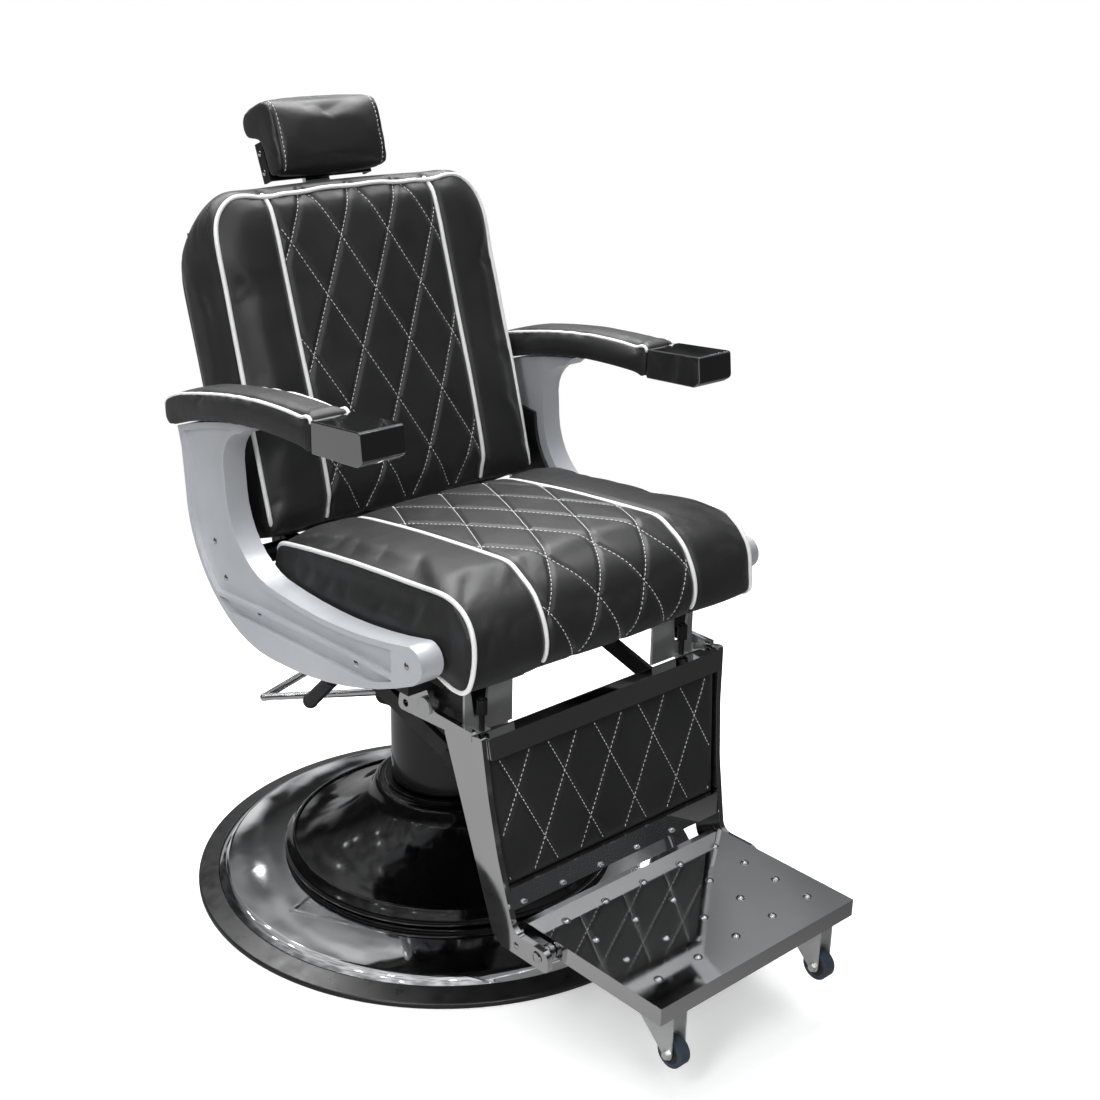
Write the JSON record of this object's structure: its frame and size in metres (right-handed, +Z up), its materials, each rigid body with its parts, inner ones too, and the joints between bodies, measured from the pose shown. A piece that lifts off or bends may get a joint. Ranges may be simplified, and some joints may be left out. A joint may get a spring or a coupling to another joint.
{
  "type": "hydraulic barber chair",
  "caption": "Reclining barber chair on a round hydraulic base, with cast arms, quilted cushions, headrest, and legrest with flip-up footplate.",
  "frame": {"origin": "centre of the round base on the floor", "axes": "+Z up, the sitter faces -Y, +X is the sitter's left"},
  "size_m": [0.7199, 0.955, 1.0562],
  "materials": {
    "rim_rubber": "satin rubber floor ring",
    "zinc_plate": "zinc-plated steel",
    "mirror_chrome": "bright chrome",
    "dark_chrome": "dark bright chrome",
    "gloss_black": "gloss black enamel",
    "satin_black": "satin black powder coat",
    "bronze": "bearing bronze",
    "ground_steel": "ground steel",
    "seal_rubber": "moulded rubber",
    "cast_aluminium": "satin silver casting",
    "covered_board": "plywood under black cloth",
    "leatherette": "black leatherette over foam",
    "black_plastic": "black moulded plastic",
    "tyre": "dark blue-grey tread"
  },
  "bodies": {
    "base": {"floor_ring": "rim_rubber", "base_plate": "zinc_plate", "chrome_dish": "mirror_chrome", "base_cone": "gloss_black", "neck_bush": "bronze", "piston_rod": "ground_steel", "piston": "ground_steel", "piston_seal": "seal_rubber", "base_bolts": "zinc_plate"},
    "lift": {"cylinder_barrel": "ground_steel", "gland_nut": "bronze", "rod_seal": "seal_rubber"},
    "turret": {"thrust_bearing": "ground_steel", "pump_head": "satin_black", "column_sleeve": "gloss_black", "seat_frame": "satin_black", "frame_bolts": "zinc_plate", "seat_board": "covered_board", "seat_cushion": "leatherette", "arm_left": "cast_aluminium", "arm_right": "cast_aluminium", "arm_pad_left": "leatherette", "arm_pad_right": "leatherette", "arm_cap_left": "dark_chrome", "arm_cap_right": "dark_chrome", "arm_screws": "mirror_chrome", "hinge_pins": "zinc_plate", "stop_brackets": "zinc_plate", "stop_bumpers": "seal_rubber", "pedal_bracket": "satin_black"},
    "pedal": {"pump_pedal": "mirror_chrome"},
    "plunger": {"pump_plunger": "ground_steel"},
    "recline_lever": {"lever_rod": "zinc_plate", "lever_grip": "black_plastic"},
    "backrest": {"back_frame": "satin_black", "back_board": "covered_board", "back_cushion": "leatherette", "back_cover": "leatherette", "headrest_socket": "satin_black"},
    "headrest_slide": {"headrest_post": "mirror_chrome"},
    "headrest": {"headrest_bracket": "satin_black", "headrest_pad": "leatherette", "headrest_screws": "mirror_chrome"},
    "legrest": {"side_bar_left": "mirror_chrome", "side_bar_right": "mirror_chrome", "top_rail": "mirror_chrome", "bottom_rail": "mirror_chrome", "leg_board": "black_plastic", "leg_pad": "leatherette", "leg_screws": "mirror_chrome"},
    "link_left": {"link_bar_left": "satin_black"},
    "link_right": {"link_bar_right": "satin_black"},
    "footplate": {"foot_tray": "mirror_chrome", "foot_studs": "mirror_chrome", "caster_forks": "zinc_plate"},
    "caster_left": {"caster_tyre_left": "tyre", "caster_hub_left": "black_plastic"},
    "caster_right": {"caster_tyre_right": "tyre", "caster_hub_right": "black_plastic"}
  },
  "joints": [
    {"name": "seat_lift", "type": "slide", "parent": "base", "child": "lift", "axis": [0, 0, 1], "range_m": [0, 0.12]},
    {"name": "seat_swivel", "type": "hinge", "parent": "lift", "child": "turret", "pos_m": [0, 0, 0.35], "axis": [0, 0, 1], "continuous": true},
    {"name": "pump_stroke", "type": "hinge", "parent": "turret", "child": "pedal", "pos_m": [-0.02983, 0.08914, 0.252], "axis": [-0.9483, -0.3173, 0], "range_deg": [0, 20]},
    {"name": "plunger_stroke", "type": "slide", "parent": "turret", "child": "plunger", "axis": [0, 0, 1], "range_m": [0, 0.0109]},
    {"name": "recline_lever_pull", "type": "hinge", "parent": "turret", "child": "recline_lever", "pos_m": [-0.24, -0.12, 0.442], "axis": [1, 0, 0], "range_deg": [0, 15]},
    {"name": "back_recline", "type": "hinge", "parent": "turret", "child": "backrest", "pos_m": [0, 0.128, 0.492], "axis": [-1, 0, 0], "range_deg": [0, 36]},
    {"name": "legrest_raise", "type": "hinge", "parent": "turret", "child": "legrest", "pos_m": [0, -0.215, 0.397], "axis": [-1, 0, 0], "range_deg": [0, 36]},
    {"name": "link_left_swing", "type": "hinge", "parent": "legrest", "child": "link_left", "pos_m": [0.176, -0.225, 0.32], "axis": [-1, 0, 0], "range_deg": [-36, 0]},
    {"name": "link_right_swing", "type": "hinge", "parent": "legrest", "child": "link_right", "pos_m": [-0.176, -0.225, 0.32], "axis": [-1, 0, 0], "range_deg": [-36, 0]},
    {"name": "headrest_height", "type": "slide", "parent": "backrest", "child": "headrest_slide", "axis": [0, 0.2756, 0.9613], "range_m": [0, 0.08]},
    {"name": "headrest_tilt", "type": "hinge", "parent": "headrest_slide", "child": "headrest", "pos_m": [0, 0.3006, 0.97615], "axis": [-1, 0, 0], "range_deg": [-8, 30]},
    {"name": "footplate_flip", "type": "hinge", "parent": "legrest", "child": "footplate", "pos_m": [0, -0.399, 0.124], "axis": [-1, 0, 0], "range_deg": [0, 80]},
    {"name": "caster_left_spin", "type": "hinge", "parent": "footplate", "child": "caster_left", "pos_m": [0.1325, -0.576, 0.063], "axis": [1, 0, 0], "continuous": true},
    {"name": "caster_right_spin", "type": "hinge", "parent": "footplate", "child": "caster_right", "pos_m": [-0.1325, -0.576, 0.063], "axis": [1, 0, 0], "continuous": true}
  ],
  "couplings": [
    {"joint": "plunger_stroke", "follows": "pump_stroke", "m_per_rad": 0.031},
    {"joint": "legrest_raise", "follows": "back_recline", "ratio": 1},
    {"joint": "link_left_swing", "follows": "back_recline", "ratio": -1},
    {"joint": "link_right_swing", "follows": "back_recline", "ratio": -1}
  ]
}
